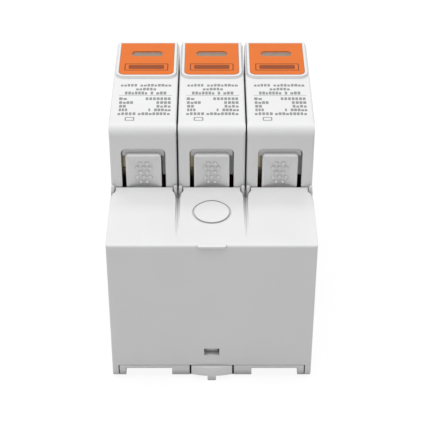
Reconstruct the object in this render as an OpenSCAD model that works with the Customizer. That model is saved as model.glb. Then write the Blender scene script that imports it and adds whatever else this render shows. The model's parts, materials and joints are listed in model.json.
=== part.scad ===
// Three-pole plug-in surge arrester for a 35 mm rail, in millimetres.
// X runs across the poles, Y along the device, Z out from the rail.
// The origin is on the middle of the rail's front face.
// The blank end with the rail clip is at -Y, the terminals are at +Y.

/* [Poles] */
// distance from one pole to the next
pole_pitch = 18; // [17.6:0.1:19]

/* [Base] */
// length of the base
base_len = 90; // [87:0.5:97]
// height of the end ledges over the rail face
ledge_z = 39.6; // [38.6:0.2:43]
// how far the ledges curve up to the plug-in units
ledge_rise = 2; // [1.2:0.1:2.4]
// length of the curved part of a ledge
ledge_sweep = 5.6; // [5:0.2:7]
// thickness of the ledges
ledge_t = 1.8; // [1.6:0.1:2.4]
// thickness of the end walls
end_wall = 1.9; // [1.7:0.1:2.3]
// thickness of the side walls
side_wall = 1.65; // [1.4:0.05:1.8]
// rounding of the upper edge of the end walls
edge_r = 0.7; // [0.4:0.1:1]
// depth of the base behind the rail face
foot_depth = 5.75; // [5.2:0.05:6]
// level of the floor that the plug-in units stand over
floor_z = 15.5; // [15:0.1:16.5]
// outer diameter of the ring on the blank ledge
ring_d = 10.2; // [8:0.2:11]
// width of the snap windows in the end walls
snap_w = 4.05; // [3:0.05:6]

/* [Plug-in units] */
// length of a unit
unit_len = 43.6; // [43:0.1:44.4]
// gap between neighbouring units
unit_gap = 0.4; // [0.3:0.05:0.6]
// height of a unit's front over the rail face
unit_top = 60.4; // [59.4:0.2:63]
// height of the raised label field over the front
plateau_h = 0.8; // [0.6:0.1:1]
// rounding of the front edge nearest the blank end
shoulder_r = 3; // [2:0.1:3.4]
// thickness of the case sides
case_wall = 1.2; // [1:0.05:1.3]
// thickness of the case ends
case_end = 1.8; // [1.7:0.05:1.9]
// width of the opening around a release tab
latch_open_w = 11.67; // [11:0.05:11.7]
// width of a release tab
latch_w = 9.34; // [8.6:0.02:9.6]
// diameter of the grip bumps on a release tab
bump_d = 1; // [0.9:0.05:1.2]
// width of the label
label_w = 14.9; // [13:0.1:15.4]
// length of the label
label_len = 17.25; // [16:0.25:18.5]
// length of the indicator window
window_w = 8.5; // [7:0.1:9.4]
// width of the indicator window
window_h = 2.6; // [2:0.1:3]

/* [Rail clip] */
// width of the clip
clip_w = 11.1; // [10:0.1:11.6]
// how far the stub hangs below the clip
stub_len = 1.6; // [1:0.1:2]
// how far the clip can be pulled
clip_travel = 3.5; // [2.5:0.1:3.8]

/* [Terminals] */
// diameter of the screw heads
head_d = 7.2; // [6.4:0.1:7.4]
// diameter of the screw shanks
shank_d = 5; // [4:0.1:5.2]
// width of a wire entry
entry_w = 8.6; // [7.6:0.1:9]
// width of a contact blade
blade_w = 7; // [6:0.1:7.4]
// thickness of a contact blade
blade_t = 1.2; // [1:0.05:1.3]

/* [Hidden] */
$fn = 48;
poles = 3;
eps = 0.01;
big = 200;
base_w = poles * pole_pitch;
half_l = base_len / 2;
half_w = base_w / 2;

// clearances
slide_gap = 0.25;
clip_gap = 0.46;
bay_gap_x = 0.2;
bay_gap_y = 0.3;
seat_gap = 0.25;
seam_gap = 0.12;

// levels behind the rail face, from the feet up
foot_z = -foot_depth;
tray_low = foot_z + 3.25;
seam_z = foot_z + 4.35;
tray_high = seam_z - seam_gap;
seat_t = 1.6;
pad_h = 0.25;
foot_r = 1.6;

// bays and units
bay_w = pole_pitch - 2 * side_wall;
bay_y = unit_len / 2 + bay_gap_y;
bay_end = 1.4;
floor_t = 1.5;
unit_w = pole_pitch - unit_gap;
plug_w = bay_w - 2 * bay_gap_x;
unit_y = unit_len / 2;
unit_low = floor_z + 0.3;
shoulder_z = ledge_z + seat_gap;
roof_t = 1.5;
hollow_y = unit_y - case_end;
hollow_w = plug_w - 2 * case_wall;
head_hollow_w = unit_w - 2 * case_wall;
plateau_z = unit_top + plateau_h;
sweep_r = (ledge_sweep * ledge_sweep + ledge_rise * ledge_rise) / (2 * ledge_rise);

// release tabs, drawn at the blank end
latch_top = unit_top - 8.5;
open_top = unit_top - 6.75;
slit_top = unit_top - 9.45;
latch_low = shoulder_z - 7.8;
latch_face = -unit_y + 0.1;
latch_t = 1.6;
lean_low = ledge_z + ledge_rise + 0.5;
lean_out = 0.45;
roll_r = 0.5;
roll_out = 0.6;
lean = atan(lean_out / (latch_top - roll_r - lean_low));
open_r = 1.5;
web_front = -unit_y + 0.9;
web_gap = 0.3;
grip_z = unit_top - 14.7;
grip_row = 1.58;
grip_col = 1.75;
bump_proud = 0.13;
dish_deep = 1;
dish_half = 4.1;
dish_mid = grip_z + 0.3 - lean_low;
dish_top = latch_top - 0.85 - lean_low;
dish_low = -2;
dish_side_r = (dish_half * dish_half + dish_deep * dish_deep) / (2 * dish_deep);
dish_end_r = (pow(dish_top - dish_mid, 2) + dish_deep * dish_deep) / (2 * dish_deep);

// label and window
label_back = unit_y - 1.05;
label_front = label_back - label_len;
label_t = 0.35;
label_r = 1.6;
window_in = 5.95;
window_y = label_back - window_in;
plateau_y = label_front - 1.1;
plateau_x = unit_w / 2 - 0.3;
plateau_r = 2.6;
plateau_slope = 0.3;

// inside a unit
bottom_t = 1.8;
head_floor = shoulder_z + 1.3;
varistor_low = unit_low + bottom_t + 2.1;
varistor_left = 0.95 - hollow_w / 2;
varistor_right = 4;
varistor_l = 2 * hollow_y - 7;
varistor_h = unit_top - roof_t - varistor_low - 5.2;
varistor_r = 1.5;
strip_low = unit_low + bottom_t + 0.1;
strip_t = 0.75;
strip_w = 7;
strip_foot = 1.2;
near_strip_h = 26;
lug_low = grip_z - 4;
lug_mid = grip_z - 0.9;
lug_high = slit_top + 0.8;
lug_near = hollow_y - 2.6;
slit_rib_x = latch_open_w / 2 - 0.6;
slit_rib_low = grip_z + 0.3;
slit_rib_y = hollow_y - 1.3;
far_strip_h = 11;
solder_h = 6;
arm_w = 4;
arm_right = varistor_right + 0.9;
flag_z = unit_top - roof_t - 1;
flag_t = 0.9;
flag_y = 10;
leg_w = 3;
leg_t = 1.1;
bridge_low = head_floor + 0.5;
bridge_high = bridge_low + 1.6;
bar_low = shoulder_z - 3.8;
bar_high = shoulder_z - 0.8;
bar_reach = 13;
spring_seat = hollow_y - 2.9;
seat_rib = 0.9;
flag_coil_r = 0.6;
flag_wire = 0.14;

// ledge details
ring_y = half_l - 14.4;
ring_line = 0.5;
ring_cut = 0.3;
ring_rise = 0.15;
groove_tip = half_l - 2.6;
groove_half = 0.55;
groove_cut = 1.3;
groove_r = 0.6;
groove_sink = 0.9;
groove_high = ledge_rise + 1;
edge_tip = bay_y + 4.6;
corner_post_r = 0.45;
corner_post_x = 0.68;
corner_post_y = bay_y + 0.55;
corner_post_z = ledge_z + ledge_rise + 0.5;
lip_w = 7.4;
lip_out = 0.6;

// contacts
blade_y = unit_y - 9.3;
blade_low = 4.4;
fork_t = 0.8;
fork_gap = 0.1;
fork_high = floor_z - floor_t - 0.8;
web_t = 1.2;
web_top = seat_t + web_t;
fork_half = blade_t / 2 + fork_gap + fork_t;
contact_w = blade_w - 0.4;

// terminals
riser_y = bay_y + bay_end + 0.2;
riser_t = 1.2;
room_y = riser_y + riser_t;
term_y = room_y + (half_l - end_wall - room_y) / 3;
tongue_z = floor_z + 5;
tongue_t = 1.5;
tongue_w = 6.2;
cage_in_w = 7;
cage_wall = 1.2;
cage_w = cage_in_w + 2 * cage_wall;
cage_l = 8.4;
cage_floor = tongue_z - 10;
cage_roof = tongue_z + tongue_t + 1;
cage_roof_t = 2.5;
cage_top = cage_roof + cage_roof_t;
head_h = 3;
head_top = ledge_z - 3.2;
head_low = head_top - head_h;
access_r = head_d / 2 + 0.4;
collar_low = head_low - 0.1;
guide_x = cage_w / 2 + 0.3;

// rail clip
clip_low = foot_z + 1.25;
clip_high = tray_high - 0.05;
guide_w = clip_w + 2 * clip_gap;
wing = 0.8;
wing_low = clip_low + 1.1;
wing_high = wing_low + 0.9;
clip_bulge = 0.8;
hook_reach = 15.7;
rail_half = 17.5;
pad_y = hook_reach - 0.4;
near_step = rail_half + 1.4;
far_step = rail_half + 0.25;
step_t = 1.5;
roof_z = 0.2;
slot_near = half_l - 8.1;
slot_far = slot_near - 12;
slot_w = 3.4;
post_y = slot_near - 0.6;
post_t = 1.4;
coil_r = 1.05;
coil_wire = 0.25;

// Shared shapes

function pole_x(pole) = (pole - 2) * pole_pitch;

// a box given by its two corners
module block(low, high) {
    translate(low)
        cube(high - low);
}

// a flat rectangle with round corners, centred
module round_rect(w, h, r) {
    square([w - 2 * r, h], center = true);
    square([w, h - 2 * r], center = true);
    for (x = [-1, 1], y = [-1, 1])
        translate([x * (w / 2 - r), y * (h / 2 - r)])
            circle(r = r);
}

// the sliver that a round corner takes off a square one at the origin
module corner_cut(r) {
    difference() {
        translate([-1, -1])
            square(r + 1);
        translate([r, r])
            circle(r = r);
    }
}

// a drawing with axes (y, z), drawn out across the poles
module across(low, high) {
    translate([low, 0, 0])
        rotate([90, 0, 90])
            linear_extrude(high - low)
                children();
}

// a drawing with axes (x, z), drawn out along the device
module along(low, high) {
    translate([0, high, 0])
        rotate([90, 0, 0])
            linear_extrude(high - low)
                children();
}

// the same thing at both ends of the device
module both_ends() {
    children();
    mirror([0, 1, 0])
        children();
}

// a coil spring along Z
module coil(length, mean_r, wire_r, turns) {
    steps = turns * 14;
    sides = 6;
    rise = length - 2 * wire_r;
    ring = [for (i = [0 : steps], k = [0 : sides - 1])
        let (a = 360 * i / 14, b = 360 * k / sides, r = mean_r + wire_r * cos(b))
        [r * cos(a), r * sin(a), wire_r + rise * i / steps + wire_r * sin(b)]];
    skin = [for (i = [0 : steps - 1], k = [0 : sides - 1], half = [0, 1])
        let (a = i * sides, n = (k + 1) % sides)
        half == 0 ? [a + k, a + sides + k, a + sides + n] : [a + k, a + sides + n, a + n]];
    start = [for (k = [0 : sides - 1]) k];
    end = [for (k = [sides - 1 : -1 : 0]) steps * sides + k];
    polyhedron(ring, concat(skin, [start], [end]), convexity = 6);
}

// Base

// side view of the housing: ledges that curve up to the bays, rail notch below
module housing_side() {
    difference() {
        union() {
            translate([-half_l, foot_z])
                square([base_len, ledge_z - foot_z]);
            for (end = [0, 1])
                mirror([end, 0])
                    difference() {
                        translate([-bay_y - ledge_sweep, ledge_z - 1])
                            square([ledge_sweep, ledge_rise + 1]);
                        translate([-bay_y - ledge_sweep, ledge_z + sweep_r - 0.06])
                            circle(r = sweep_r, $fn = 200);
                    }
        }
        for (end = [0, 1])
            mirror([end, 0]) {
                translate([-half_l, ledge_z])
                    mirror([0, 1])
                        corner_cut(edge_r);
                translate([-half_l, foot_z])
                    corner_cut(foot_r);
            }
        translate([-near_step, foot_z - 1])
            square([2 * near_step, 1 - foot_z]);
    }
}

module housing_block() {
    intersection() {
        across(-half_w, half_w)
            housing_side();
        translate([0, 0, foot_z - 1])
            linear_extrude(big)
                round_rect(base_w, base_len, 0.5);
        along(-half_l, half_l)
            difference() {
                translate([-half_w, foot_z])
                    square([base_w, big]);
                for (side = [0, 1])
                    mirror([side, 0])
                        translate([-half_w, foot_z])
                            corner_cut(1.4);
            }
    }
}

module housing_hollows() {
    inner = half_w - side_wall;
    // below the seam only the side walls go on down
    block([-inner, -half_l - 1, foot_z - 1], [inner, half_l + 1, seam_z]);
    // space behind the bays, and under both ledges
    block([-inner, -half_l + end_wall, foot_z - 1], [inner, half_l - end_wall, floor_z - floor_t]);
    both_ends()
        block([-inner, -half_l + end_wall, 0], [inner, -bay_y - bay_end, ledge_z - ledge_t]);
    // bays, with slots for the blades in their floor
    for (pole = [1 : poles])
        translate([pole_x(pole), 0, 0]) {
            block([-bay_w / 2, -bay_y, floor_z], [bay_w / 2, bay_y, big]);
            both_ends()
                block([-blade_w / 2 - 0.5, -blade_y - blade_t / 2 - 0.5, 0],
                    [blade_w / 2 + 0.5, -blade_y + blade_t / 2 + 0.5, floor_z + 1]);
        }
}

// groove with sloping sides that runs out on the ledge at its tip
module boundary_groove(tip) {
    wide = groove_half * (1 + groove_high / groove_cut);
    polyhedron([[0, -bay_y + 0.5, ledge_z - groove_cut], [wide, -bay_y + 0.5, ledge_z + groove_high],
        [-wide, -bay_y + 0.5, ledge_z + groove_high], [0, -tip, ledge_z + 0.02]],
        [[0, 1, 2], [0, 3, 1], [1, 3, 2], [2, 3, 0]]);
}

// round bed of a groove, which gets deeper from its tip to the units
module groove_bed(tip) {
    run = tip - bay_y;
    translate([0, -tip, ledge_z + groove_r])
        rotate([-atan(groove_sink / run), 0, 0])
            along(0, run + 0.5) {
                circle(r = groove_r);
                translate([-groove_r, 0])
                    square([2 * groove_r, big]);
            }
}

// round clearance in the ledge around a post
module post_room() {
    translate([0, -corner_post_y, ledge_z + 0.5])
        cylinder(r = corner_post_r + 0.3, h = 5);
}

// round-topped post at a corner of a bay
module corner_post() {
    translate([0, -corner_post_y, 0])
        rotate_extrude()
            intersection() {
                union() {
                    translate([0, ledge_z - 1.2])
                        square([corner_post_r, corner_post_z - ledge_z + 1.2]);
                    translate([0, corner_post_z])
                        circle(r = corner_post_r);
                }
                square(big);
            }
}

// the housing's own surface, raised or lowered, around the ring on the plain ledge
module ring_level(rise) {
    translate([0, 0, rise])
        across(-ring_d, ring_d)
            housing_side();
}

// slightly raised disc inside the ring
module ring_disc() {
    intersection() {
        translate([0, -ring_y, ledge_z - 1])
            cylinder(d = ring_d - ring_line, h = 5);
        ring_level(ring_rise);
    }
}

// line around the disc
module ring_groove() {
    difference() {
        translate([0, -ring_y, ledge_z - 1])
            cylinder(d = ring_d, h = 6);
        translate([0, -ring_y, ledge_z - 2])
            cylinder(d = ring_d - 2 * ring_line, h = 8);
        ring_level(-ring_cut);
    }
}

// small lip in the middle of the upper edge of the blank end wall
module edge_lip() {
    half = lip_w / 2;
    translate([0, 0, ledge_z - lip_out])
        linear_extrude(lip_out)
            polygon([[-half, -half_l + 1], [-half, -half_l - 0.1], [-half + 0.35, -half_l - lip_out],
                [half - 0.35, -half_l - lip_out], [half, -half_l - 0.1], [half, -half_l + 1]]);
}

module terminal_walls() {
    for (side = [-1, 1])
        translate([side * (guide_x + 0.6), 0, 0])
            block([-0.6, term_y - cage_l / 2 - 0.4, cage_floor - 1.5],
                [0.6, half_l - end_wall + eps, ledge_z - ledge_t + eps]);
    translate([0, term_y, collar_low])
        cylinder(r = access_r + 1.2, h = ledge_z - 0.5 - collar_low);
}

module wire_entry() {
    h = tongue_z - cage_floor - 0.6;
    translate([0, 0, cage_floor + 0.3 + h / 2]) {
        along(half_l - end_wall - 1, half_l + 1)
            round_rect(entry_w, h, 1.5);
        along(half_l - 0.6, half_l + 1)
            round_rect(entry_w + 1.4, h + 1.4, 2);
    }
}

module base_housing() {
    color([0.82, 0.82, 0.82])
        difference() {
            union() {
                difference() {
                    housing_block();
                    housing_hollows();
                    both_ends()
                        for (edge = [0 : poles])
                            translate([edge * pole_pitch - half_w, 0, 0])
                                boundary_groove(edge > 0 && edge < poles ? groove_tip : edge_tip);
                    both_ends()
                        for (edge = [1 : poles - 1])
                            translate([edge * pole_pitch - half_w, 0, 0])
                                groove_bed(groove_tip);
                    both_ends()
                        for (pole = [1 : poles], side = [-1, 1])
                            translate([pole_x(pole) + side * (pole_pitch / 2 - corner_post_x), 0, 0])
                                post_room();
                }
                both_ends()
                    for (pole = [1 : poles], side = [-1, 1])
                        translate([pole_x(pole) + side * (pole_pitch / 2 - corner_post_x), 0, 0])
                            corner_post();
                edge_lip();
                ring_disc();
                for (pole = [1 : poles])
                    translate([pole_x(pole), 0, 0])
                        terminal_walls();
            }
            for (pole = [1 : poles])
                translate([pole_x(pole), 0, 0]) {
                    translate([0, term_y, collar_low - 1])
                        cylinder(r = access_r, h = big);
                    wire_entry();
                }
            ring_groove();
            // windows for the rear cover's snap tongues
            both_ends()
                block([-snap_w / 2, -half_l - 1, seam_z + 3.5],
                    [snap_w / 2, -half_l + end_wall + 1, seam_z + 5.95]);
        }
}

// rear cover's snap tongue with its hook in the window
module snap_tongue() {
    inner = -half_l + end_wall + 0.2;
    block([-snap_w / 2 + 0.15, inner, tray_low], [snap_w / 2 - 0.15, inner + 1.2, seam_z + 6]);
    across(-snap_w / 2 + 0.3, snap_w / 2 - 0.3)
        polygon([[inner + 0.1, seam_z + 3.65], [-half_l + 1.6, seam_z + 3.65],
            [-half_l + 1.6, seam_z + 5.5], [inner, seam_z + 5.8], [inner + 0.1, seam_z + 5.8]]);
}

// foot between two places across the base
module foot(left, right, step) {
    top = tray_low + 0.9;
    intersection() {
        along(-half_l, -step)
            translate([(left + right) / 2, (foot_z + top) / 2])
                round_rect(right - left, top - foot_z, 0.6);
        across(left - 1, right + 1)
            difference() {
                translate([-half_l - 1, foot_z - 1])
                    square([half_l, 9]);
                translate([-half_l, foot_z])
                    corner_cut(foot_r);
            }
    }
}

module tray_end(step) {
    inner = half_w - side_wall - slide_gap;
    // thin edge under the end wall
    block([-inner, -half_l, tray_low], [inner, -step, tray_high]);
    // step up to the rail seat
    block([-inner, -step - step_t, tray_low], [inner, -step, seat_t]);
    // feet
    for (side = [0, 1])
        mirror([side, 0, 0]) {
            foot(inner - 1.75, inner, step);
            foot(guide_w / 2 - 1, guide_w / 2 + 4.8, step);
        }
    snap_tongue();
}

module base_tray() {
    inner = half_w - side_wall - slide_gap;
    color([0.82, 0.82, 0.82])
        difference() {
            union() {
                tray_end(near_step);
                mirror([0, 1, 0])
                    tray_end(far_step);
                // rail seat, with the pad that the rail's face lies on
                block([-inner, -near_step - step_t, pad_h], [inner, far_step + step_t, seat_t]);
                block([-inner, -pad_y, 0], [inner, pad_y, seat_t]);
                // roof over the clip
                block([-guide_w / 2 - 1.8, -half_l + end_wall + 0.3, tray_low],
                    [guide_w / 2 + 1.8, -near_step, roof_z]);
                // fixed hooks behind the rail's far edge
                for (side = [-1, 1])
                    translate([side * 16, 0, 0])
                        block([-4, hook_reach, tray_low - 0.4], [4, far_step + 1, seam_z + 0.1]);
            }
            // way for the clip and its wings
            block([-guide_w / 2, -half_l - 1, foot_z - 1], [guide_w / 2, -near_step + 1, clip_high + 0.2]);
            block([-guide_w / 2 - wing, -half_l + 4, wing_low - 0.25],
                [guide_w / 2 + wing, -near_step + 1, wing_high + 0.25]);
        }
    // post that the clip's spring pushes against
    color([0.82, 0.82, 0.82])
        block([-slot_w / 2 + 0.3, -post_y, clip_low + 0.2],
            [slot_w / 2 - 0.3, -post_y + post_t, roof_z - 0.5]);
}

module rail_clip() {
    bulge_r = (clip_w * clip_w / 4 + clip_bulge * clip_bulge) / (2 * clip_bulge);
    color([0.8, 0.8, 0.8])
        difference() {
            union() {
                translate([0, 0, clip_low])
                    linear_extrude(clip_high - clip_low) {
                        translate([-clip_w / 2, -half_l - 0.2])
                            square([clip_w, half_l + 0.2 - hook_reach]);
                        intersection() {
                            translate([0, -half_l - 0.2 - clip_bulge + bulge_r])
                                circle(r = bulge_r, $fn = 160);
                            translate([-clip_w / 2, -half_l - 3])
                                square([clip_w, 4]);
                        }
                    }
                // stub to pull it by
                along(-half_l - 0.2 - clip_bulge, -half_l + 0.6)
                    translate([0, clip_low + 0.5 - stub_len / 2])
                        round_rect(2.3, stub_len + 1, 0.35);
                // wings in the guide grooves
                block([-clip_w / 2 - wing + 0.2, -half_l + 4.3 + clip_travel, wing_low],
                    [clip_w / 2 + wing - 0.2, -near_step - 0.2, wing_high]);
            }
            // slot for the spring
            block([-slot_w / 2, -slot_near, clip_low - 1], [slot_w / 2, -slot_far, clip_high + 1]);
            // ramp that lets it snap over the rail's edge
            across(-clip_w, clip_w)
                polygon([[-hook_reach - 2, clip_low - eps], [-hook_reach + 1, clip_low - eps],
                    [-hook_reach + 1, clip_low + 3 * (clip_high - clip_low) / 4]]);
        }
}

module clip_spring() {
    length = post_y - post_t - slot_far - 0.1;
    color([0.75, 0.75, 0.78])
        translate([0, -slot_far - 0.05 - length, (clip_low + clip_high) / 2])
            rotate([-90, 0, 0])
                coil(length, coil_r, coil_wire, 7);
}

// a pair of contact leaves around a blade
module fork() {
    for (side = [0, 1])
        mirror([0, side, 0])
            block([-contact_w / 2, blade_t / 2 + fork_gap, web_top - eps],
                [contact_w / 2, fork_half, fork_high]);
}

module common_bus() {
    color([0.8, 0.5, 0.3]) {
        block([-pole_pitch - contact_w / 2, -blade_y - fork_half, seat_t],
            [pole_pitch + contact_w / 2, -blade_y + fork_half, web_top]);
        for (pole = [1 : poles])
            translate([pole_x(pole), -blade_y, 0])
                fork();
    }
}

module line_contact(pole) {
    color([0.8, 0.5, 0.3])
        translate([pole_x(pole), 0, 0]) {
            block([-contact_w / 2, blade_y - fork_half, seat_t], [contact_w / 2, room_y, web_top]);
            translate([0, blade_y, 0])
                fork();
            block([-tongue_w / 2, riser_y, seat_t], [tongue_w / 2, room_y, tongue_z + tongue_t]);
            block([-tongue_w / 2, riser_y, tongue_z],
                [tongue_w / 2, term_y + cage_l / 2 + 0.6, tongue_z + tongue_t]);
        }
}

module terminal_cage(pole) {
    color([0.72, 0.72, 0.7])
        translate([pole_x(pole), term_y, 0])
            difference() {
                block([-cage_w / 2, -cage_l / 2, cage_floor - cage_wall], [cage_w / 2, cage_l / 2, cage_top]);
                block([-cage_in_w / 2, -cage_l, cage_floor], [cage_in_w / 2, cage_l, cage_roof]);
                translate([0, 0, cage_roof - 1])
                    cylinder(d = shank_d + 0.3, h = cage_roof_t + 2);
            }
}

module terminal_screw(pole) {
    color([0.72, 0.72, 0.7])
        translate([pole_x(pole), term_y, 0])
            difference() {
                union() {
                    translate([0, 0, tongue_z + tongue_t + 0.1])
                        cylinder(d = shank_d, h = head_low - tongue_z - tongue_t);
                    translate([0, 0, head_low])
                        cylinder(d = head_d, h = head_h);
                }
                for (turn = [0, 90])
                    rotate(turn)
                        block([-head_d * 0.36, -0.45, head_top - 1.5], [head_d * 0.36, 0.45, head_top + 1]);
            }
}

// Plug-in units

// front view of the upper part, up to its roof
module unit_front() {
    difference() {
        translate([-unit_w / 2, shoulder_z])
            square([unit_w, unit_top - shoulder_z]);
        for (side = [0, 1])
            mirror([side, 0])
                translate([-unit_w / 2, unit_top])
                    mirror([0, 1])
                        corner_cut(0.5);
    }
}

// side view of the upper part, rounded at the blank end
module unit_side() {
    difference() {
        translate([-unit_y, shoulder_z])
            square([unit_len, unit_top - shoulder_z]);
        translate([-unit_y, unit_top])
            mirror([0, 1])
                corner_cut(shoulder_r);
    }
}

// raised field with sloping edges that carries the label
module plateau() {
    low = unit_top - 0.2;
    rise = plateau_z - low;
    near = plateau_y + plateau_slope;
    side = plateau_x - plateau_slope;
    difference() {
        union() {
            across(plateau_r - plateau_x, plateau_x - plateau_r)
                polygon([[plateau_y, low], [near, plateau_z], [unit_y, plateau_z], [unit_y, low]]);
            along(plateau_y + plateau_r, unit_y)
                polygon([[-plateau_x, low], [-side, plateau_z], [side, plateau_z], [plateau_x, low]]);
            for (x = [-1, 1])
                translate([x * (plateau_x - plateau_r), plateau_y + plateau_r, low])
                    cylinder(r1 = plateau_r, r2 = plateau_r - plateau_slope, h = rise);
        }
        across(-unit_w, unit_w)
            translate([unit_y, plateau_z])
                rotate(180)
                    corner_cut(0.5);
    }
}

module case_outside() {
    intersection() {
        union() {
            intersection() {
                across(-unit_w / 2, unit_w / 2)
                    unit_side();
                along(-unit_y, unit_y)
                    unit_front();
            }
            plateau();
        }
        linear_extrude(big)
            round_rect(unit_w, unit_len, 0.7);
    }
    translate([0, 0, unit_low])
        linear_extrude(shoulder_z + 0.5 - unit_low)
            round_rect(plug_w, unit_len, 0.7);
}

// opening for a release tab: wide slits at its sides and a round-cornered head
module latch_opening() {
    block([-latch_open_w / 2, -unit_y - 1, latch_low - 1], [latch_open_w / 2, -hollow_y + 0.1, slit_top]);
    translate([0, 0, (open_top + slit_top - 3) / 2])
        along(-unit_y - 1, -hollow_y + 0.1)
            round_rect(latch_open_w, open_top - slit_top + 3, open_r);
}

module label_outline(grow) {
    translate([0, (label_front + label_back) / 2])
        round_rect(label_w + 2 * grow, label_len + 2 * grow, label_r + grow);
    // square corners at the far edge
    translate([-label_w / 2 - grow, label_back - 3])
        square([label_w + 2 * grow, 3 + grow]);
}

module window_outline(grow) {
    translate([0, window_y])
        round_rect(window_w + 2 * grow, window_h + 2 * grow, window_h / 2 + grow - 0.05);
}

module case_shell() {
    difference() {
        case_outside();
        block([-hollow_w / 2, -hollow_y, unit_low - 1], [hollow_w / 2, hollow_y, unit_top - roof_t]);
        block([-head_hollow_w / 2, -hollow_y, head_floor], [head_hollow_w / 2, hollow_y, unit_top - roof_t]);
        both_ends()
            latch_opening();
        translate([0, 0, plateau_z - label_t + 0.05])
            linear_extrude(2)
                label_outline(0.1);
        translate([0, 0, unit_top - roof_t - 1])
            linear_extrude(5)
                window_outline(0);
    }
    // ribs beside the openings that keep the slits dust-tight
    both_ends()
        block([slit_rib_x, -slit_rib_y, slit_rib_low],
            [head_hollow_w / 2 + 0.1, -slit_rib_y + 1.2, lug_high]);
    // rib that the indicator's spring pushes against
    block([hollow_w / 2 - 1.6, spring_seat, bar_low], [hollow_w / 2 + 0.1, spring_seat + seat_rib, bar_high]);
}

module case(pole) {
    color([0.86, 0.86, 0.86])
        translate([pole_x(pole), 0, 0])
            case_shell();
}

module case_bottom(pole) {
    color([0.8, 0.8, 0.8])
        translate([pole_x(pole), 0, 0])
            difference() {
                block([-hollow_w / 2 + 0.1, -hollow_y + 0.1, unit_low],
                    [hollow_w / 2 - 0.1, hollow_y - 0.1, unit_low + bottom_t]);
                both_ends()
                    block([-blade_w / 2 - 0.1, -blade_y - blade_t / 2 - 0.1, unit_low - 1],
                        [blade_w / 2 + 0.1, -blade_y + blade_t / 2 + 0.1, unit_low + 5]);
            }
}

module label(pole) {
    color([0.93, 0.45, 0.2])
        translate([pole_x(pole), 0, plateau_z - label_t + 0.05])
            linear_extrude(label_t)
                difference() {
                    label_outline(0);
                    window_outline(0.1);
                }
}

module window(pole) {
    color([0.6, 0.58, 0.54])
        translate([pole_x(pole), 0, 0]) {
            translate([0, 0, unit_top - roof_t - 0.05])
                linear_extrude(roof_t + plateau_h - 0.25)
                    window_outline(-0.1);
            block([-window_w / 2 - 0.8, window_y - window_h / 2 - 0.8, unit_top - roof_t - 0.75],
                [window_w / 2 + 0.8, window_y + window_h / 2 + 0.8, unit_top - roof_t]);
        }
}

module varistor(pole) {
    color([0.62, 0.52, 0.34])
        translate([pole_x(pole), 0, varistor_low + varistor_h / 2])
            across(varistor_left, varistor_right)
                round_rect(varistor_l, varistor_h, varistor_r);
}

// blade with the strip that is soldered to the varistor's left face
module near_blade(pole) {
    color([0.8, 0.6, 0.3])
        translate([pole_x(pole), -blade_y, 0]) {
            block([-blade_w / 2, -blade_t / 2, blade_low],
                [blade_w / 2, blade_t / 2, strip_low + strip_foot]);
            block([varistor_left - strip_t, -blade_t / 2, strip_low],
                [0, blade_t / 2, strip_low + strip_foot]);
            block([varistor_left - strip_t, -strip_w / 2, strip_low],
                [varistor_left, strip_w / 2, varistor_low + near_strip_h]);
            across(varistor_left - strip_t, varistor_left)
                polygon([[blade_y - lug_near, lug_high], [blade_y - lug_near, lug_mid], [0, lug_low],
                    [strip_w / 2, lug_low], [strip_w / 2, lug_high]]);
        }
}

// blade with the strip that stands off the varistor's right face
module far_blade(pole) {
    color([0.8, 0.6, 0.3])
        translate([pole_x(pole), blade_y, 0]) {
            block([-blade_w / 2, -blade_t / 2, blade_low],
                [blade_w / 2, blade_t / 2, strip_low + strip_foot]);
            block([0, -blade_t / 2, strip_low], [arm_right + strip_t, blade_t / 2, strip_low + strip_foot]);
            block([arm_right, -strip_w / 2, strip_low],
                [arm_right + strip_t, strip_w / 2, varistor_low + far_strip_h]);
        }
}

// sprung leaf between the far strip and the solder spot on the varistor
module thermal_arm(pole) {
    color([0.85, 0.65, 0.35])
        translate([pole_x(pole), 0, varistor_low + solder_h]) {
            block([varistor_right + 0.3, -arm_w, 0], [arm_right, blade_y + arm_w / 2, arm_w]);
            block([varistor_right, -arm_w, 0], [varistor_right + 0.4, 0, arm_w]);
        }
}

// indicator slide: field behind the window, leg and bar
module flag(pole) {
    bar_left = varistor_right + 0.75;
    bar_right = hollow_w / 2 - 0.2;
    leg_right = head_hollow_w / 2 - 0.5;
    color([0.75, 0.12, 0.1])
        translate([pole_x(pole), 0, 0]) {
            block([-window_w / 2 - 0.7, flag_y - 0.5, flag_z - flag_t], [leg_right, hollow_y - 0.2, flag_z]);
            block([leg_right - leg_t, flag_y, bridge_low], [leg_right, flag_y + leg_w, flag_z]);
            block([bar_left, flag_y, bridge_low], [leg_right, flag_y + leg_w, bridge_high]);
            block([bar_left, flag_y, bar_low], [bar_right, flag_y + leg_w, bridge_high]);
            block([bar_left, -bar_reach, bar_low], [bar_right, flag_y + leg_w, bar_high]);
        }
}

module flag_spring(pole) {
    start = flag_y + leg_w + 0.05;
    color([0.75, 0.75, 0.78])
        translate([pole_x(pole) + (varistor_right + hollow_w / 2) / 2 + 0.1, start, (bar_low + bar_high) / 2])
            rotate([-90, 0, 0])
                coil(spring_seat - 0.05 - start, flag_coil_r, flag_wire, 6);
}

// side view of a release tab: rolled upper edge, neck, plate and sloping catch
module latch_side() {
    polygon([[latch_face, latch_low], [latch_face, lean_low], [latch_face - lean_out, latch_top - roll_r],
        [latch_face - roll_out + roll_r, latch_top], [latch_face + latch_t, latch_top],
        [latch_face + latch_t, latch_low]]);
    translate([latch_face - roll_out + roll_r, latch_top - roll_r])
        circle(r = roll_r);
    polygon([[latch_face + 0.5, latch_low], [latch_face - 0.2, latch_low + 2.4],
        [latch_face, latch_low + 2.6], [latch_face + 0.5, latch_low + 2.6]]);
}

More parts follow.
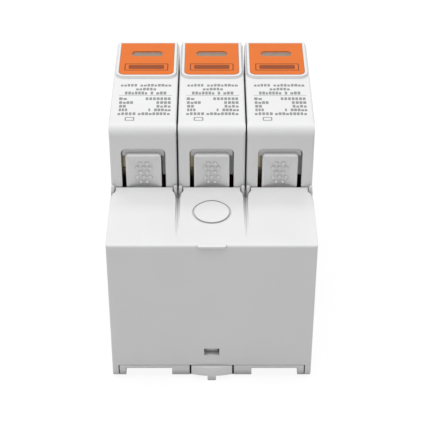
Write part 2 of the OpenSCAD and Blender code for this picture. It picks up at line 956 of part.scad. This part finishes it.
// side view of the dish, from the leaning face: it starts below the lip and runs down behind the ledge
module dish_side() {
    translate([-1, dish_low])
        square([1 + dish_deep, dish_mid - dish_low]);
    intersection() {
        translate([dish_deep - dish_end_r, dish_mid])
            circle(r = dish_end_r, $fn = 180);
        translate([-1, dish_mid - 0.1])
            square([4, dish_end_r]);
    }
}

// web over the tab, which fills the head of the opening
module latch_web() {
    wide = latch_open_w - 2 * web_gap;
    along(web_front, latch_face + latch_t)
        intersection() {
            translate([0, open_top - web_gap - 4])
                round_rect(wide, 8, open_r - web_gap);
            translate([-wide / 2, slit_top])
                square([wide, 4]);
        }
}

// depth of a round hollow at a distance from its middle
function arc_depth(away, r) = dish_deep - r + sqrt(r * r - away * away);

function dish_depth(x, z) = min(arc_depth(x, dish_side_r), arc_depth(max(0, z - dish_mid), dish_end_r));

// places something on the tab's leaning face
module on_leaning_face() {
    translate([0, latch_face, lean_low])
        rotate([lean, 0, 0])
            children();
}

// release tab at the blank end: dished grip with rows of bumps
module latch_shape() {
    difference() {
        intersection() {
            across(-latch_w / 2, latch_w / 2)
                latch_side();
            translate([0, 0, (latch_top + latch_low - 3) / 2])
                along(-unit_y - 2, 0)
                    round_rect(latch_w, latch_top - latch_low + 3, 0.8);
        }
        on_leaning_face()
            intersection() {
                translate([0, dish_deep - dish_side_r, dish_low - 1])
                    cylinder(r = dish_side_r, h = 40, $fn = 180);
                across(-latch_w, latch_w)
                    dish_side();
            }
    }
    latch_web();
    on_leaning_face()
        for (row = [-2 : 2])
            for (col = abs(row) == 1 ? [-1, 0, 1] : [-0.5, 0.5])
                let (x = col * grip_col, z = grip_z - lean_low + row * grip_row)
                    translate([x, dish_depth(x, z) - bump_proud, z])
                        rotate([90, 0, 0])
                            sphere(d = bump_d, $fn = 24);
}

module near_latch(pole) {
    color([0.86, 0.86, 0.86])
        translate([pole_x(pole), 0, 0])
            latch_shape();
}

module far_latch(pole) {
    color([0.86, 0.86, 0.86])
        translate([pole_x(pole), 0, 0])
            mirror([0, 1, 0])
                latch_shape();
}

base_housing();
base_tray();
common_bus();
line_contact(1);  // line_contact_1
line_contact(2);  // line_contact_2
line_contact(3);  // line_contact_3
clip_spring();
rail_clip();
terminal_screw(1);  // terminal_screw_1
terminal_screw(2);  // terminal_screw_2
terminal_screw(3);  // terminal_screw_3
terminal_cage(1);  // terminal_cage_1
terminal_cage(2);  // terminal_cage_2
terminal_cage(3);  // terminal_cage_3
case(1);  // case_1
case_bottom(1);  // case_bottom_1
label(1);  // label_1
window(1);  // window_1
varistor(1);  // varistor_1
near_blade(1);  // near_blade_1
far_blade(1);  // far_blade_1
thermal_arm(1);  // thermal_arm_1
flag(1);  // flag_1
flag_spring(1);  // flag_spring_1
near_latch(1);  // near_latch_1
far_latch(1);  // far_latch_1
case(2);  // case_2
case_bottom(2);  // case_bottom_2
label(2);  // label_2
window(2);  // window_2
varistor(2);  // varistor_2
near_blade(2);  // near_blade_2
far_blade(2);  // far_blade_2
thermal_arm(2);  // thermal_arm_2
flag(2);  // flag_2
flag_spring(2);  // flag_spring_2
near_latch(2);  // near_latch_2
far_latch(2);  // far_latch_2
case(3);  // case_3
case_bottom(3);  // case_bottom_3
label(3);  // label_3
window(3);  // window_3
varistor(3);  // varistor_3
near_blade(3);  // near_blade_3
far_blade(3);  // far_blade_3
thermal_arm(3);  // thermal_arm_3
flag(3);  // flag_3
flag_spring(3);  // flag_spring_3
near_latch(3);  // near_latch_3
far_latch(3);  // far_latch_3
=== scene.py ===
"""Looks of a three-pole plug-in surge arrester: its finishes, its print, the light and the camera."""
import json
import math
import random

import bmesh
import bpy
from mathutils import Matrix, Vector


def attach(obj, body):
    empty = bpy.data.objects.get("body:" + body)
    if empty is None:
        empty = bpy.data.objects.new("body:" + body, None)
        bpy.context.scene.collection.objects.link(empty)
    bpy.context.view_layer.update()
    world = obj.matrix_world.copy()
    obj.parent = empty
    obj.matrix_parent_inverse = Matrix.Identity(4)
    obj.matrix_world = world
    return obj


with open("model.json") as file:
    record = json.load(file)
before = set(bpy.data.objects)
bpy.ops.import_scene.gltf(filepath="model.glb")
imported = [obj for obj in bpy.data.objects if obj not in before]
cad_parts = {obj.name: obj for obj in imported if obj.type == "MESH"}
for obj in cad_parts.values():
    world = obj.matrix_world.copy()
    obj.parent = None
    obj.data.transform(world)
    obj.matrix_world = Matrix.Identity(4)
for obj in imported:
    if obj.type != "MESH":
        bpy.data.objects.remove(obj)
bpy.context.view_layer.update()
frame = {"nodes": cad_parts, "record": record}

# lengths are in millimetres, apart from those of the studio, which are in metres
MM = 0.001
POLES = (1, 2, 3)
MIDDLE_POLE = 2
POLE_PITCH = 18

# heights of the floor, the printed fronts and the labels, and the band of painted shade in which the feet
# grow darker towards the bottom
FLOOR = -6.1
FRONT = 60.4
LABEL_FACE = 61.25
FOOT_SHADE_TOP = -2.9
FOOT_SHADE_BOTTOM = -4.2

# near edge of the printed fronts, and how thick the print is
NEAR_EDGE = -21.8
INK = 0.02

# sockets of a Mix node that blends colours, whose names aren't unique
MIX_SHARE = 0
MIX_FIRST = 6
MIX_SECOND = 7
MIX_COLOUR = 2


# Shader wiring

class Wire:
    """A shader socket that can stand in a Python sum."""

    def __init__(self, finish, socket):
        self.finish = finish
        self.socket = socket

    def __add__(self, other):
        return self.finish.work_out("ADD", self, other)

    def __radd__(self, other):
        return self.finish.work_out("ADD", other, self)

    def __sub__(self, other):
        return self.finish.work_out("SUBTRACT", self, other)

    def __rsub__(self, other):
        return self.finish.work_out("SUBTRACT", other, self)

    def __mul__(self, other):
        return self.finish.work_out("MULTIPLY", self, other)

    def __rmul__(self, other):
        return self.finish.work_out("MULTIPLY", other, self)


class Finish:
    """The node tree of one finish, with the patterns that several finishes share."""

    def __init__(self, tree):
        self.tree = tree
        self.tree.nodes.clear()

    def node(self, kind, settings=None, sockets=None, output=0):
        """Adds a node, sets it, fills or links its inputs and gives back one of its outputs."""
        made = self.tree.nodes.new(kind)
        for name, value in (settings or {}).items():
            setattr(made, name, value)
        for name, value in (sockets or {}).items():
            if isinstance(value, Wire):
                self.tree.links.new(value.socket, made.inputs[name])
            else:
                made.inputs[name].default_value = value
        return Wire(self, made.outputs[output]) if made.outputs else None

    def work_out(self, operation, *values):
        return self.node("ShaderNodeMath", {"operation": operation}, dict(enumerate(values)))

    def at_most_one(self, value):
        return self.work_out("MINIMUM", value, 1.0)

    def place(self, stretch=None):
        """Where a spot lies on its piece. A small stretch along an axis draws the pattern out along it."""
        spot = self.node("ShaderNodeTexCoord", output="Object")
        if stretch is None:
            return spot
        return self.node("ShaderNodeMapping", {}, {"Vector": spot, "Scale": stretch})

    def along(self, spot, axis):
        return self.node("ShaderNodeSeparateXYZ", {}, {"Vector": spot}, axis)

    def noise(self, spot, size_mm, detail=2.0, rough=0.5):
        sockets = {"Vector": spot, "Scale": 1 / (size_mm * MM), "Detail": detail, "Roughness": rough}
        return self.node("ShaderNodeTexNoise", {}, sockets)

    def between(self, value, low, high):
        """Eases from 0 at the low end to 1 at the high end."""
        sockets = {"Value": value, "From Min": low, "From Max": high}
        return self.node("ShaderNodeMapRange", {"interpolation_type": "SMOOTHSTEP"}, sockets)

    def spread(self, noise):
        """A noise, drawn apart so that it reaches from 0 to 1."""
        return self.between(noise, 0.3, 0.7)

    def sway(self, noise, reach):
        """A noise that swings about 0, to both sides alike."""
        return (noise - 0.5) * reach

    def mix(self, share, first, second):
        """A colour that goes from the first to the second as the share grows."""
        ends = [(*end, 1) if isinstance(end, tuple) else end for end in (first, second)]
        sockets = {MIX_SHARE: share, MIX_FIRST: ends[0], MIX_SECOND: ends[1]}
        return self.node("ShaderNodeMix", {"data_type": "RGBA"}, sockets, MIX_COLOUR)

    def soft_edge(self, radius_mm):
        return self.node("ShaderNodeBevel", {"samples": 6}, {"Radius": radius_mm * MM})

    def edge_mask(self, soft):
        """1 on an edge, where the softened normal leaves the flat one."""
        flat = self.node("ShaderNodeNewGeometry", output="Normal")
        normals = {0: soft, 1: flat}
        agreement = self.node("ShaderNodeVectorMath", {"operation": "DOT_PRODUCT"}, normals, "Value")
        return self.between(1 - agreement, 0.01, 0.2)

    def shut_in(self, reach_mm, shut):
        """0 on an open face, 1 in a corner that is as shut as this or more."""
        sockets = {"Distance": reach_mm * MM}
        openness = self.node("ShaderNodeAmbientOcclusion", {"samples": 8}, sockets, "AO")
        return self.between(openness, 0.96, shut)

    def bump(self, height, depth_mm, normal=None):
        sockets = {"Height": height, "Distance": depth_mm * MM, "Strength": 1.0}
        if normal:
            sockets["Normal"] = normal
        return self.node("ShaderNodeBump", {}, sockets)

    def blend(self, share, first, second):
        """A shader that goes from the first to the second as the share grows."""
        return self.node("ShaderNodeMixShader", {}, {0: share, 1: first, 2: second})

    def surface(self, shader, output="ShaderNodeOutputMaterial"):
        self.node(output, {}, {"Surface": shader})

    def shade(self, sockets):
        self.surface(self.node("ShaderNodeBsdfPrincipled", {}, sockets))


def new_finish(name):
    material = bpy.data.materials.new(name)
    material.use_nodes = True
    return material, Finish(material.node_tree)


def scaled(values, factor):
    return tuple(value * factor for value in values)


def grey(tone):
    return (tone, tone, tone)


# Finishes

def moulded_plastic(name, colour, rough=0.46, edge_mm=0.22, corner_mm=2.2, corner_shut=0.35, corner_share=0.5,
                    foot_shade_tone=1.0):
    """Satin moulding: spark-eroded grain, slow drift of tone, painted shade in the corners, edges rubbed a
    little smoother and painted a little paler as a highlight.

    The painted shade of a corner reaches corner_mm out of it, is full where the corner is as shut as
    corner_shut, and is mixed in by corner_share at most. The last argument, when below 1, is the share of the
    colour
    that is left at the bottom of the feet: painted shade that grows darker towards the bottom.
    """
    material, f = new_finish(name)
    spot = f.place()
    grain = f.noise(spot, size_mm=0.16)
    drift = f.noise(spot, size_mm=14, detail=3)
    smear = f.noise(f.place(stretch=(1, 0.35, 1)), size_mm=2.2, detail=4, rough=0.6)
    soft = f.soft_edge(edge_mm)
    rubbed = f.edge_mask(soft)
    tone = f.mix(f.spread(drift), scaled(colour, 0.975), colour)
    # painted highlight: edges painted a little paler; the same mask makes them smoother below
    tone = f.mix(rubbed * 0.35, tone, scaled(colour, 1.04))
    # painted shade: corners and creases grow darker the more shut in they are
    tone = f.mix(f.shut_in(corner_mm, corner_shut) * corner_share, tone, scaled(colour, 0.5))
    # painted shade: the feet grow darker towards the bottom
    if foot_shade_tone < 1:
        foot_shade = f.between(f.along(spot, "Z"), FOOT_SHADE_TOP * MM, FOOT_SHADE_BOTTOM * MM)
        tone = f.mix(foot_shade, tone, scaled(colour, foot_shade_tone))
    gloss = rough + f.sway(grain, 0.16) + f.sway(smear, 0.1) - rubbed * 0.1
    normal = f.bump(grain + smear * 0.4, depth_mm=0.006, normal=soft)
    f.shade({"Base Color": tone, "Roughness": gloss, "IOR": 1.5, "Normal": normal})
    return material


def label_print():
    """Orange print laid into its field: even ink with a faint roller grain and a paler rubbed rim."""
    material, f = new_finish("label_orange")
    colour = (0.79, 0.168, 0.012)
    rubbed_colour = (0.88, 0.33, 0.12)
    roller = f.noise(f.place(stretch=(1, 0.25, 1)), size_mm=0.3)
    patch = f.noise(f.place(), size_mm=6, detail=3)
    soft = f.soft_edge(radius_mm=0.12)
    tone = f.mix(f.spread(patch), scaled(colour, 0.965), scaled(colour, 1.01))
    tone = f.mix(roller * 0.08, tone, scaled(colour, 0.86))
    tone = f.mix(f.edge_mask(soft) * 0.25, tone, rubbed_colour)
    gloss = 0.36 + f.sway(roller, 0.12) + f.sway(patch, 0.06)
    normal = f.bump(roller, depth_mm=0.002, normal=soft)
    f.shade({"Base Color": tone, "Roughness": gloss, "IOR": 1.5, "Specular IOR Level": 0.25,
             "Normal": normal})
    return material


def window_lens():
    """Smoked lens over the status slide: glossy, with a darker rim where it meets the case."""
    material, f = new_finish("window_lens")
    clear = (0.28, 0.214, 0.157)
    smoked = (0.243, 0.182, 0.128)
    rim = (0.2, 0.17, 0.13)
    haze = f.noise(f.place(), size_mm=1.6, detail=3)
    soft = f.soft_edge(radius_mm=0.25)
    tone = f.mix(f.spread(haze), smoked, clear)
    tone = f.mix(f.edge_mask(soft) * 0.5, tone, rim)
    gloss = 0.2 + haze * 0.1
    normal = f.bump(haze, depth_mm=0.002, normal=soft)
    f.shade({"Base Color": tone, "Roughness": gloss, "IOR": 1.5, "Coat Weight": 0.25, "Normal": normal})
    return material


def varistor_coat():
    """Tan dip coat of the varistor: orange-peel skin with dark specks."""
    material, f = new_finish("varistor_dip")
    dark_tan = (0.36, 0.3, 0.17)
    pale_tan = (0.44, 0.37, 0.23)
    speck_brown = (0.16, 0.12, 0.06)
    spot = f.place()
    peel = f.noise(spot, size_mm=0.7)
    speck = f.between(f.noise(spot, size_mm=0.35, detail=1), 0.66, 0.74)
    cloud = f.noise(spot, size_mm=5, detail=3)
    tone = f.mix(f.spread(cloud), dark_tan, pale_tan)
    tone = f.mix(speck * 0.5, tone, speck_brown)
    gloss = 0.42 + f.sway(cloud, 0.2)
    f.shade({"Base Color": tone, "Roughness": gloss, "IOR": 1.5, "Normal": f.bump(peel, depth_mm=0.04)})
    return material


def rolled_metal(name, colour, dull, rough=0.3, lines=(1, 1, 0.04)):
    """Rolled strip: fine lines along the rolling direction and patches dulled by air."""
    material, f = new_finish(name)
    line = f.noise(f.place(stretch=lines), size_mm=0.09)
    patch = f.noise(f.place(), size_mm=4, detail=4, rough=0.6)
    soft = f.soft_edge(radius_mm=0.12)
    edge = f.edge_mask(soft)
    aged = f.between(patch, 0.45, 0.75)
    tone = f.mix(aged * 0.6, colour, dull)
    tone = f.mix(edge * 0.3, tone, scaled(colour, 1.12))
    gloss = rough + f.sway(line, 0.14) + aged * 0.12 - edge * 0.06
    normal = f.bump(line, depth_mm=0.003, normal=soft)
    f.shade({"Base Color": tone, "Metallic": 1.0, "Roughness": gloss, "Normal": normal})
    return material


def zinc_plate():
    """Plated steel of the clamp screws and cages: crystalline bloom, bright rubbed edges."""
    material, f = new_finish("zinc_plate")
    dull_zinc = (0.62, 0.61, 0.57)
    pale_zinc = (0.72, 0.72, 0.71)
    spot = f.place()
    bloom = f.noise(spot, size_mm=0.5, detail=4, rough=0.65)
    cloud = f.noise(spot, size_mm=3, detail=3)
    soft = f.soft_edge(radius_mm=0.18)
    edge = f.edge_mask(soft)
    tone = f.mix(f.spread(cloud), dull_zinc, pale_zinc)
    tone = f.mix(edge * 0.5, tone, grey(0.82))
    gloss = 0.32 + f.sway(bloom, 0.25) - edge * 0.08
    normal = f.bump(bloom, depth_mm=0.004, normal=soft)
    f.shade({"Base Color": tone, "Metallic": 1.0, "Roughness": gloss, "Normal": normal})
    return material


def drawn_wire():
    """Spring wire: bright, with drawing lines and a trace of oil."""
    material, f = new_finish("drawn_wire")
    bright = (0.66, 0.66, 0.67)
    oiled = (0.42, 0.41, 0.39)
    spot = f.place()
    line = f.noise(spot, size_mm=0.06)
    oil = f.between(f.noise(spot, size_mm=1.2, detail=3), 0.4, 0.7)
    tone = f.mix(oil * 0.5, bright, oiled)
    gloss = 0.26 + f.sway(line, 0.2) + oil * 0.08
    f.shade({"Base Color": tone, "Metallic": 1.0, "Roughness": gloss, "Normal": f.bump(line, depth_mm=0.002)})
    return material


def printing_ink(name, colour):
    """Pad-printed ink: a thin, slightly uneven film."""
    material, f = new_finish(name)
    starved = f.between(f.noise(f.place(), size_mm=0.22, detail=3), 0.5, 0.8)
    tone = f.mix(starved * 0.45, colour, scaled(colour, 1.35))
    f.shade({"Base Color": tone, "Roughness": 0.5 + starved * 0.12, "IOR": 1.45, "Specular IOR Level": 0.3,
             "Normal": f.bump(starved, depth_mm=0.002)})
    return material


BASE_GREY = (0.83, 0.83, 0.832)
UNIT_GREY = (0.835, 0.835, 0.838)
# painted light: the clip is paler than the base grey of its slot, to lift its shaded front
CLIP_PAINTED_PALE_GREY = (0.91, 0.91, 0.912)
FLAG_RED = (0.42, 0.03, 0.025)
# reach, shutness and share of the painted shade in corners, for the base and the units
BASE_CORNER_SHADE = {"corner_mm": 1.5, "corner_shut": 0.6, "corner_share": 0.62}
UNIT_CORNER_SHADE = {"corner_mm": 2.0, "corner_share": 0.45}

# by the record's material slots, and by node for two pieces that differ from the rest of their slot: the
# clip, painted paler as light, and the tray, whose feet carry painted shade
FINISHES = {
    "base_plastic": moulded_plastic("base_moulding", BASE_GREY, **BASE_CORNER_SHADE),
    "unit_plastic": moulded_plastic("unit_moulding", UNIT_GREY, rough=0.42, edge_mm=0.12, **UNIT_CORNER_SHADE),
    "flag_plastic": moulded_plastic("flag_moulding", FLAG_RED, rough=0.4),
    "label_print": label_print(),
    "window_plastic": window_lens(),
    "varistor_coat": varistor_coat(),
    # painted shade: the blade brass is toned far darker than bare brass, for the slits where it shows
    "blade_brass": rolled_metal("blade_brass", (0.46, 0.405, 0.285), dull=(0.33, 0.285, 0.195)),
    "bronze": rolled_metal("arm_bronze", (0.74, 0.5, 0.28), dull=(0.45, 0.28, 0.14), rough=0.34,
                           lines=(1, 0.04, 1)),
    "copper": rolled_metal("contact_copper", (0.83, 0.46, 0.3), dull=(0.42, 0.2, 0.12), rough=0.33,
                           lines=(0.04, 1, 1)),
    "plated_steel": zinc_plate(),
    "spring_steel": drawn_wire(),
}
NODE_FINISHES = {
    "rail_clip": moulded_plastic("clip_moulding_painted_pale", CLIP_PAINTED_PALE_GREY),
    "base_tray": moulded_plastic("tray_moulding_painted_shade", BASE_GREY, edge_mm=0.5, foot_shade_tone=0.76, **BASE_CORNER_SHADE),
}
UNIT_INK = printing_ink("unit_ink", (0.3, 0.3, 0.305))
LABEL_INK = printing_ink("label_ink", (0.16, 0.035, 0.008))
FIELD_INK = printing_ink("field_ink", (0.27, 0.058, 0.011))

for part in frame["record"]["subparts"]:
    piece = frame["nodes"][part["node"]]
    finish = NODE_FINISHES.get(part["node"], FINISHES[part["material_slot"]])
    if not piece.material_slots:
        piece.data.materials.append(finish)
    for slot in piece.material_slots:
        slot.material = finish


# Pieces that ride on the units

def pole_middle(pole):
    return (pole - MIDDLE_POLE) * POLE_PITCH


def new_object(name, mesh, finish):
    data = bpy.data.meshes.new(name)
    mesh.to_mesh(data)
    mesh.free()
    data.materials.append(finish)
    made = bpy.data.objects.new(name, data)
    bpy.context.scene.collection.objects.link(made)
    return made


def riding_piece(name, mesh, finish, body):
    bmesh.ops.recalc_face_normals(mesh, faces=mesh.faces)
    piece = new_object(name, mesh, finish)
    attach(piece, body)


def add_plate(mesh, corners, thickness):
    """Adds the face between these corners, thickened along a vector."""
    face = mesh.faces.new([mesh.verts.new(scaled(corner, MM)) for corner in corners])
    raised = bmesh.ops.extrude_face_region(mesh, geom=[face])["geom"]
    moved = [item for item in raised if isinstance(item, bmesh.types.BMVert)]
    bmesh.ops.translate(mesh, verts=moved, vec=scaled(thickness, MM))


def ink_patch(mesh, left, right, low, high, level, corner=0.1):
    """A thin patch of ink with cut corners."""
    cut = min(corner, (right - left) / 3, (high - low) / 3)
    outline = [(left + cut, low), (right - cut, low), (right, low + cut), (right, high - cut),
               (right - cut, high), (left + cut, high), (left, high - cut), (left, low + cut)]
    add_plate(mesh, [(x, y, level) for x, y in outline], (0, 0, INK))


def ink_frame(mesh, left, right, low, high, line, level):
    ink_patch(mesh, left, right, low, low + line, level)
    ink_patch(mesh, left, right, high - line, high, level)
    ink_patch(mesh, left, left + line, low + line, high - line, level)
    ink_patch(mesh, right - line, right, low + line, high - line, level)


# rows of the rating field: distance from the near edge, height, and the runs of marks across the unit
RATING_ROWS = [
    (20.9, 1.3, ((-6.6, -2.0), (-1.3, 7.2))),
    (18.9, 1.3, ((-2.4, 3.2),)),
    (16.85, 1.5, ((-5.3, 0.9), (1.6, 2.4), (3.1, 6.0))),
    (13.95, 1.3, ((-6.7, -4.4), (0.4, 7.25))),
    (12.0, 1.3, ((-6.6, -2.7), (3.3, 7.3))),
    (10.15, 1.3, ((-6.5, -4.5), (3.4, 7.35))),
    (8.35, 1.3, ((-6.5, -4.1), (1.3, 1.9), (2.8, 7.4))),
    (6.45, 1.3, ((-6.7, -1.8), (-1.4, 7.2))),
]

# the marks: usual step along a run, and the shares of the step and of the row's height that they fill
MARK_SEED = 7
MARK_STEP = 0.95
MARK_WIDTHS = (0.72, 0.84)
MARK_HEIGHTS = (0.76, 1.0, 1.0)

# the rule and the empty frame: distance from the near edge, left and right ends, height, and the frame's line
RULE = (15.65, -6.85, 7.35, 0.14)
EMPTY_FRAME = (3.95, -4.7, -2.2, 1.7)
EMPTY_FRAME_LINE = 0.3

# frame and field on the label: half width, near and far edge, and the frame's line or the field's cut corner
LABEL_FRAME = (6.0, 5.6, 9.25, 0.26)
LABEL_FIELD = (4.9, 6.4, 8.5, 0.3)


def rating_field(pole):
    """Rows of plain marks, a rule and an empty frame, as the front of a unit carries them."""
    dice = random.Random(MARK_SEED)
    middle = pole_middle(pole)
    mesh = bmesh.new()
    for y, height, runs in RATING_ROWS:
        low = NEAR_EDGE + y - height / 2
        for left, right in runs:
            count = max(1, round((right - left) / MARK_STEP))
            step = (right - left) / count
            for i in range(count):
                start = middle + left + i * step
                width = step * dice.uniform(*MARK_WIDTHS)
                top = low + height * dice.choice(MARK_HEIGHTS)
                ink_patch(mesh, start, start + width, low, top, FRONT)
    y, left, right, height = RULE
    low = NEAR_EDGE + y - height / 2
    ink_patch(mesh, middle + left, middle + right, low, low + height, FRONT)
    y, left, right, height = EMPTY_FRAME
    low = NEAR_EDGE + y - height / 2
    ink_frame(mesh, middle + left, middle + right, low, low + height, EMPTY_FRAME_LINE, FRONT)
    riding_piece(f"rating_field_{pole}", mesh, UNIT_INK, f"unit_{pole}")


def label_field(pole):
    """A lined frame with a plain darker field in it, on the label."""
    middle = pole_middle(pole)
    lines = bmesh.new()
    half, near, far, line = LABEL_FRAME
    ink_frame(lines, middle - half, middle + half, near, far, line, LABEL_FACE)
    riding_piece(f"label_frame_{pole}", lines, LABEL_INK, f"unit_{pole}")
    field = bmesh.new()
    half, near, far, corner = LABEL_FIELD
    ink_patch(field, middle - half, middle + half, near, far, LABEL_FACE, corner)
    riding_piece(f"label_field_{pole}", field, FIELD_INK, f"unit_{pole}")


# what shows in the slits beside a near release tab: outline across and up, then near and far face
SLIT_RIB = [(4.85, 43.4), (5.95, 43.4), (5.95, 46.0), (5.24, 46.0), (5.24, 51.7), (4.85, 51.7)]
SLIT_RIB_FACES = (-18.7, -17.5)
STRIP_FOLD = [(-6.6, 42.0), (-4.3, 42.0), (-4.3, 51.7), (-5.0, 51.7),
              (-5.0, 44.6), (-5.75, 44.6), (-5.75, 51.7), (-6.6, 51.7)]
STRIP_FOLD_FACES = (-17.4, -17.1)


def slit_plate(name, pole, outline, faces, slot):
    """Upright plate behind a slit."""
    middle = pole_middle(pole)
    near, far = faces
    mesh = bmesh.new()
    add_plate(mesh, [(middle + x, near, z) for x, z in outline], (0, far - near, 0))
    riding_piece(f"{name}_{pole}", mesh, FINISHES[slot], f"unit_{pole}")


for pole in POLES:
    rating_field(pole)
    label_field(pole)
    slit_plate("slit_rib", pole, SLIT_RIB, SLIT_RIB_FACES, "unit_plastic")
    slit_plate("strip_fold", pole, STRIP_FOLD, STRIP_FOLD_FACES, "blade_brass")


# Stage, light and camera

# soft borders on the floor, as distances from the part's middle: those of the dark patch under the base,
# of the gaps that its feet leave in that patch, and of the paper painted dark under and around it as shade
PATCH_SIDE = (25.5, 27.5)
PATCH_END = (43.2, 43.8)
FOOT_GAP_INNER_SIDE = (6.8, 7.8)
FOOT_GAP_OUTER_SIDE = (23.8, 24.4)
FOOT_GAP_BACK = (38.5, 41)
PAINTED_SHADE_SIDE = (27, 31)
PAINTED_SHADE_END = (45, 49)

WHITE = (1, 1, 1, 1)
FLOOR_RADIUS_M = 3.0
FLOOR_GLOW = 0.91
LIGHT_AROUND = 0.465

# the photo's camera, as found from the part's edges in the picture
SENSOR_WIDTH = 36
PHOTO_WIDTH_PX = 425
FOCAL_LENGTH_PX = 1345.29
CAMERA_PLACE_M = (0.0002, -0.31477, 0.24882)
CAMERA_TILT_DOWN_DEG = 36.38


def seen_directly(f):
    """1 for rays that show the backdrop itself: from the camera, off gloss or through clear pieces."""
    camera, glossy, clear = [f.node("ShaderNodeLightPath", output=f"Is {kind} Ray")
                             for kind in ("Camera", "Glossy", "Transmission")]
    return f.at_most_one(camera + glossy + clear)


def past(f, distance, border):
    """0 before a soft border and 1 past it."""
    return f.between(distance, *scaled(border, MM))


def floor_place(f):
    """How far a spot of the sheet lies from the part's middle, across and along."""
    spot = f.place()
    return [f.work_out("ABSOLUTE", f.along(spot, axis)) for axis in ("X", "Y")]


def clear_of_base(f):
    """0 on the sheet right under the base, where it stays dark, and 1 beside it and between its feet."""
    x, y = floor_place(f)
    across_gap = past(f, x, FOOT_GAP_INNER_SIDE) * (1 - past(f, x, FOOT_GAP_OUTER_SIDE))
    between_feet = across_gap * past(f, y, FOOT_GAP_BACK)
    return f.at_most_one(past(f, x, PATCH_SIDE) + past(f, y, PATCH_END) + between_feet)


def out_of_painted_shade(f):
    """0 under the base and close to it, where the paper is painted dark as shade, 1 a few millimetres away.
    """
    x, y = floor_place(f)
    return f.at_most_one(past(f, x, PAINTED_SHADE_SIDE) + past(f, y, PAINTED_SHADE_END))


def studio_floor():
    """Pale sheet that shows white and keeps the shadow, and throws back a plain share of the light, save
    under and close to the base, where it is painted dark as shade and throws back almost none.
    """
    material, f = new_finish("floor_sheet")
    fibre = f.noise(f.place(), size_mm=1.5, detail=4)
    # painted shade: the paper is almost black under and close to the base, which keeps bounce light off the
    # part's lower faces
    tone = f.mix(out_of_painted_shade(f), grey(0.06), f.mix(fibre, grey(0.6), grey(0.64)))
    paper = f.node("ShaderNodeBsdfDiffuse", {}, {"Color": tone})
    shown = f.node("ShaderNodeBsdfDiffuse", {}, {"Color": (*grey(0.12), 1)})
    glow = f.node("ShaderNodeEmission", {}, {"Color": WHITE, "Strength": FLOOR_GLOW})
    white = f.node("ShaderNodeAddShader", {}, {0: shown, 1: glow})
    f.surface(f.blend(seen_directly(f) * clear_of_base(f), paper, white))
    mesh = bmesh.new()
    bmesh.ops.create_circle(mesh, cap_ends=True, segments=96, radius=FLOOR_RADIUS_M)
    bmesh.ops.translate(mesh, verts=mesh.verts, vec=(0, 0, FLOOR * MM))
    sheet = new_object("studio_floor", mesh, material)


def studio_world():
    """Even light from all around that shows as plain white behind the part."""
    world = bpy.data.worlds.new("studio")
    bpy.context.scene.world = world
    world.use_nodes = True
    f = Finish(world.node_tree)
    around = f.node("ShaderNodeBackground", {}, {"Color": WHITE, "Strength": LIGHT_AROUND})
    white = f.node("ShaderNodeBackground", {}, {"Color": WHITE, "Strength": 1.0})
    f.surface(f.blend(seen_directly(f), around, white), "ShaderNodeOutputWorld")


def softbox(name, place, aim, size, watts):
    data = bpy.data.lights.new(name, "AREA")
    data.shape = "SQUARE"
    data.size = size
    data.energy = watts
    lamp = bpy.data.objects.new(name, data)
    lamp.location = place
    lamp.rotation_euler = (Vector(aim) - Vector(place)).to_track_quat("-Z", "Y").to_euler()
    bpy.context.scene.collection.objects.link(lamp)


def studio_camera():
    data = bpy.data.cameras.new("camera")
    data.sensor_width = SENSOR_WIDTH
    data.lens = SENSOR_WIDTH * FOCAL_LENGTH_PX / PHOTO_WIDTH_PX
    data.clip_start = 0.01
    camera = bpy.data.objects.new("camera", data)
    camera.location = CAMERA_PLACE_M
    camera.rotation_euler = (math.radians(90 - CAMERA_TILT_DOWN_DEG), 0, 0)
    bpy.context.scene.collection.objects.link(camera)
    bpy.context.scene.camera = camera


studio_floor()
studio_world()
softbox("overhead_softbox", place=(-0.1, 0.0, 0.9), aim=(0, 0, 0.03), size=0.8, watts=5.6)
studio_camera()
bpy.context.scene.view_settings.view_transform = "Standard"
